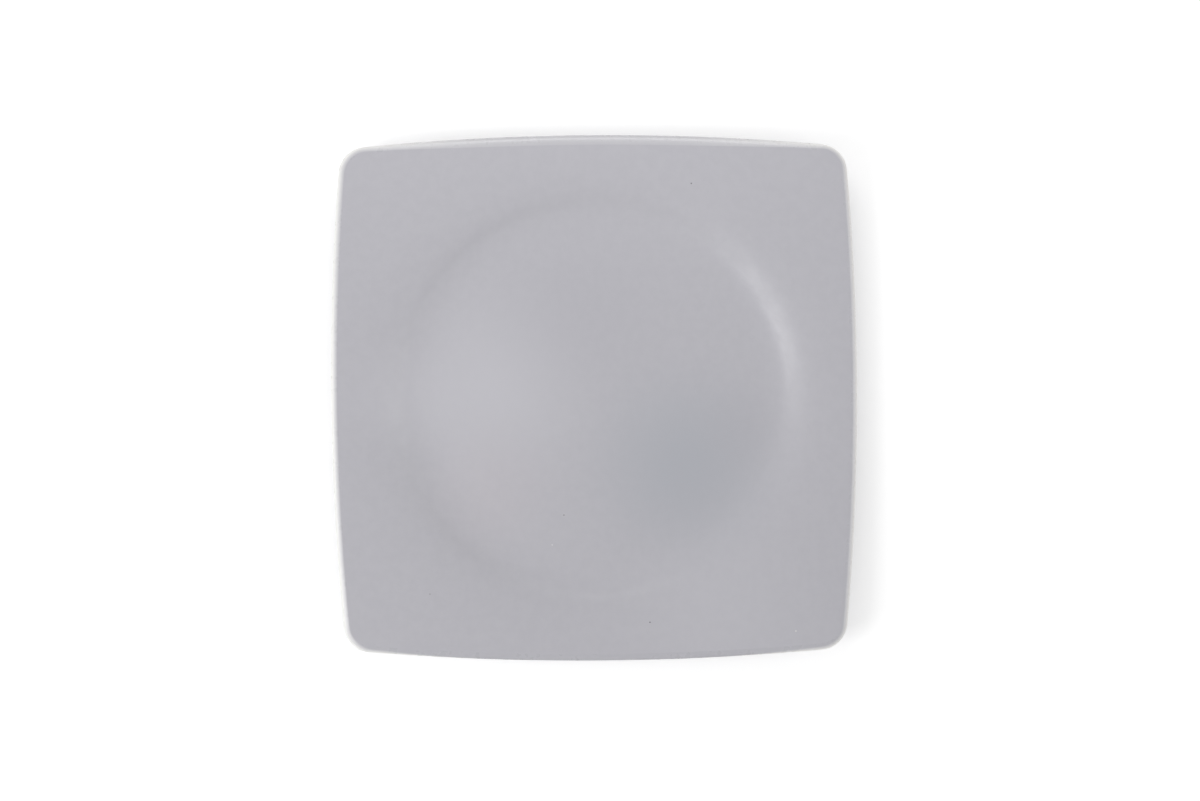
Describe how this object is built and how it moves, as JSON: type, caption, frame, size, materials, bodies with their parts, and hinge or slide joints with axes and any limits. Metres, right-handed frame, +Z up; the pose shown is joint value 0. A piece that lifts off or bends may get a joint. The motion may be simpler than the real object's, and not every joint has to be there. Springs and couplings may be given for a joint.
{
  "type": "square dinner plate",
  "caption": "Square glazed stoneware dinner plate with bowed sides, rounded corners, a round well that rolls into a wide rim, and a foot ring.",
  "frame": {"origin": "centre of the foot ring's sole, on the surface that the plate stands on", "axes": "+Z up out of the well, X and Y square to the four sides, so that each side's middle lies on an axis"},
  "size_m": [0.26, 0.26, 0.0234],
  "materials": {
    "fired_clay": "bare fired stoneware, dry and matt, on the foot ring only",
    "satin_glaze": "satin lilac-grey glaze with faint mottling and a few pinholes",
    "lip_glaze": "the same glaze run thin over the lip, paler and a little glossier",
    "back_glaze": "satin grey glaze on the underside, wiped clear of the foot ring"
  },
  "bodies": {
    "root": {"clay_body": "fired_clay", "face_glaze": "satin_glaze", "lip_glaze": "lip_glaze", "back_glaze": "back_glaze", "recess_glaze": "back_glaze"}
  },
  "joints": []
}
